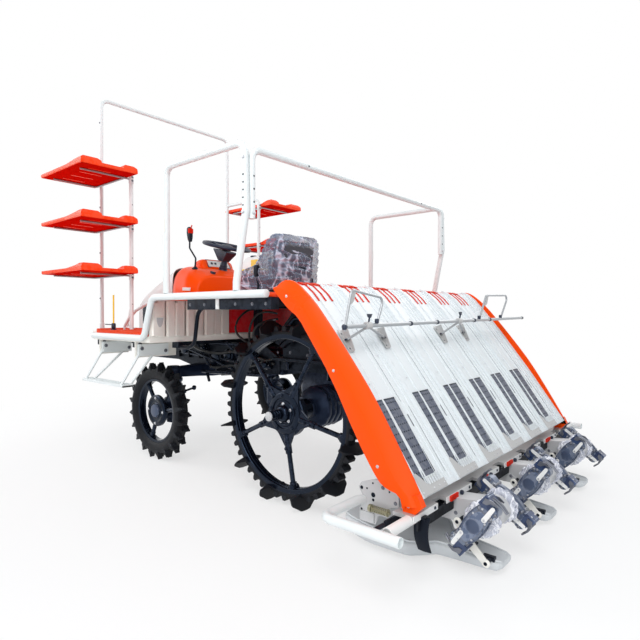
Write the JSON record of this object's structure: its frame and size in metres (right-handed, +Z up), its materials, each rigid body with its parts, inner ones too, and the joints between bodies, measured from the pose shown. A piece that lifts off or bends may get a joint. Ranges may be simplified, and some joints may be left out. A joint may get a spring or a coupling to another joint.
{
  "type": "six-row riding rice transplanter",
  "caption": "Riding rice transplanter: four-wheel tractor body with seedling racks and guard tubes, lifting a sloped seedling tray with planting rotors and floats.",
  "frame": {"origin": "under the middle of the machine's overall box, on the ground", "axes": "+X towards the planting section at the rear, -X towards the nose, +Y to the machine's right side, +Z up"},
  "size_m": [3.313, 2.2776, 2.644],
  "materials": {
    "black_paint": "satin near-black chassis paint",
    "white_tube": "smooth white powder coat",
    "cream_plastic": "cream moulded plastic",
    "orange_panel": "orange-red moulded panels",
    "hood_grey": "light grey moulded hood",
    "tyre_rubber": "black rubber on steel",
    "seat_cover": "dark seat vinyl",
    "grip_plastic": "navy-grey grip",
    "tray_sheet": "silver-white ribbed sheet",
    "bare_steel": "plated steel",
    "float_plastic": "pale grey moulded float",
    "cast_grey": "grey-blue castings"
  },
  "bodies": {
    "chassis": {"main_frame": "black_paint", "front_outriggers": "black_paint", "rear_outriggers": "black_paint", "transmission_case": "cast_grey", "engine_block": "cast_grey", "front_axle": "black_paint", "rear_axle": "black_paint", "front_deck": "cream_plastic", "deck_mat": "orange_panel", "riser_panel": "cream_plastic", "rear_deck": "orange_panel", "dash_cowl": "orange_panel", "steering_column": "black_paint", "shift_lever": "black_paint", "seat_base": "black_paint", "seat_cushion": "seat_cover", "seat_back": "seat_cover", "rear_cross_hoop": "white_tube", "rack_portal": "white_tube", "side_tank": "white_tube", "rack_side_left": "white_tube", "side_rail_left": "white_tube", "guard_hoop_left": "white_tube", "footstep_left": "white_tube", "rack_tray_left_low": "orange_panel", "rack_tray_left_mid": "orange_panel", "rack_tray_left_high": "orange_panel", "rack_side_right": "white_tube", "side_rail_right": "white_tube", "guard_hoop_right": "white_tube", "footstep_right": "white_tube", "rack_tray_right_low": "orange_panel", "rack_tray_right_mid": "orange_panel", "rack_tray_right_high": "orange_panel"},
    "hood": {"nose_hood": "hood_grey"},
    "steering_wheel": {"steering_wheel": "grip_plastic"},
    "knuckle_left": {"knuckle_left": "black_paint"},
    "front_wheel_left": {"front_wheel_left": "tyre_rubber"},
    "rear_wheel_left": {"rear_wheel_left": "tyre_rubber"},
    "knuckle_right": {"knuckle_right": "black_paint"},
    "front_wheel_right": {"front_wheel_right": "tyre_rubber"},
    "rear_wheel_right": {"rear_wheel_right": "tyre_rubber"},
    "lower_links": {"lower_links": "black_paint"},
    "upper_link": {"upper_link": "black_paint"},
    "lift_cylinder": {"lift_cylinder": "black_paint"},
    "lift_rod": {"lift_rod": "bare_steel"},
    "planter": {"planter_frame": "cast_grey", "guide_rail": "white_tube", "float_left": "float_plastic", "float_centre": "float_plastic", "float_right": "float_plastic", "float_guard_left": "white_tube", "float_guard_right": "white_tube"},
    "tray": {"seedling_tray": "tray_sheet", "tray_side_left": "orange_panel", "tray_side_right": "orange_panel", "press_rods": "bare_steel"},
    "rotor_left": {"rotor_left": "cast_grey"},
    "rotor_centre": {"rotor_centre": "cast_grey"},
    "rotor_right": {"rotor_right": "cast_grey"}
  },
  "joints": [
    {"name": "steer_left", "type": "hinge", "parent": "chassis", "child": "knuckle_left", "pos_m": [-0.79295, -0.48, 0.325], "axis": [0, 0, 1], "range_deg": [-38, 38]},
    {"name": "steer_right", "type": "hinge", "parent": "chassis", "child": "knuckle_right", "pos_m": [-0.79295, 0.48, 0.325], "axis": [0, 0, 1], "range_deg": [-38, 38]},
    {"name": "steering_wheel_turn", "type": "hinge", "parent": "chassis", "child": "steering_wheel", "pos_m": [-0.80445, 0, 1.5], "axis": [0.2588, 0, 0.9659], "range_deg": [-345, 345]},
    {"name": "front_wheel_left_spin", "type": "hinge", "parent": "knuckle_left", "child": "front_wheel_left", "pos_m": [-0.79295, -0.6, 0.325], "axis": [0, 1, 0], "continuous": true},
    {"name": "rear_wheel_left_spin", "type": "hinge", "parent": "chassis", "child": "rear_wheel_left", "pos_m": [0.46555, -0.64, 0.475], "axis": [0, 1, 0], "continuous": true},
    {"name": "front_wheel_right_spin", "type": "hinge", "parent": "knuckle_right", "child": "front_wheel_right", "pos_m": [-0.79295, 0.6, 0.325], "axis": [0, 1, 0], "continuous": true},
    {"name": "rear_wheel_right_spin", "type": "hinge", "parent": "chassis", "child": "rear_wheel_right", "pos_m": [0.46555, 0.64, 0.475], "axis": [0, 1, 0], "continuous": true},
    {"name": "lift", "type": "hinge", "parent": "chassis", "child": "lower_links", "pos_m": [0.58555, 0, 0.52], "axis": [0, -1, 0], "range_deg": [0, 55]},
    {"name": "upper_link_turn", "type": "hinge", "parent": "chassis", "child": "upper_link", "pos_m": [0.58555, 0, 0.72], "axis": [0, -1, 0], "range_deg": [0, 55]},
    {"name": "planter_level", "type": "hinge", "parent": "lower_links", "child": "planter", "pos_m": [0.99513, 0, 0.23321], "axis": [0, -1, 0], "range_deg": [-55, 0]},
    {"name": "lift_cylinder_turn", "type": "hinge", "parent": "chassis", "child": "lift_cylinder", "pos_m": [0.06555, 0, 0.8], "axis": [0, -1, 0], "range_deg": [0, 2]},
    {"name": "lift_rod_slide", "type": "slide", "parent": "lift_cylinder", "child": "lift_rod", "axis": [0.9992, 0, 0.0412], "range_m": [-0.112, 0]},
    {"name": "tray_slide", "type": "slide", "parent": "planter", "child": "tray", "axis": [0, 1, 0], "range_m": [-0.11, 0.17]},
    {"name": "hood_tilt", "type": "hinge", "parent": "chassis", "child": "hood", "pos_m": [-1.65645, 0, 0.8503], "axis": [0, -1, 0], "range_deg": [0, 60]},
    {"name": "rotor_centre_spin", "type": "hinge", "parent": "planter", "child": "rotor_centre", "pos_m": [1.52555, 0, 0.22], "axis": [0, 1, 0], "continuous": true},
    {"name": "rotor_left_spin", "type": "hinge", "parent": "planter", "child": "rotor_left", "pos_m": [1.52555, -0.6, 0.22], "axis": [0, 1, 0], "continuous": true},
    {"name": "rotor_right_spin", "type": "hinge", "parent": "planter", "child": "rotor_right", "pos_m": [1.52555, 0.6, 0.22], "axis": [0, 1, 0], "continuous": true}
  ],
  "couplings": [
    {"joint": "steer_right", "follows": "steer_left", "ratio": 1},
    {"joint": "steering_wheel_turn", "follows": "steer_left", "ratio": 9},
    {"joint": "upper_link_turn", "follows": "lift", "ratio": 1},
    {"joint": "planter_level", "follows": "lift", "ratio": -1},
    {"joint": "lift_cylinder_turn", "follows": "lift", "ratio": 0.02081},
    {"joint": "lift_rod_slide", "follows": "lift", "m_per_rad": -0.11493},
    {"joint": "rotor_left_spin", "follows": "rotor_centre_spin", "ratio": 1},
    {"joint": "rotor_right_spin", "follows": "rotor_centre_spin", "ratio": 1}
  ]
}
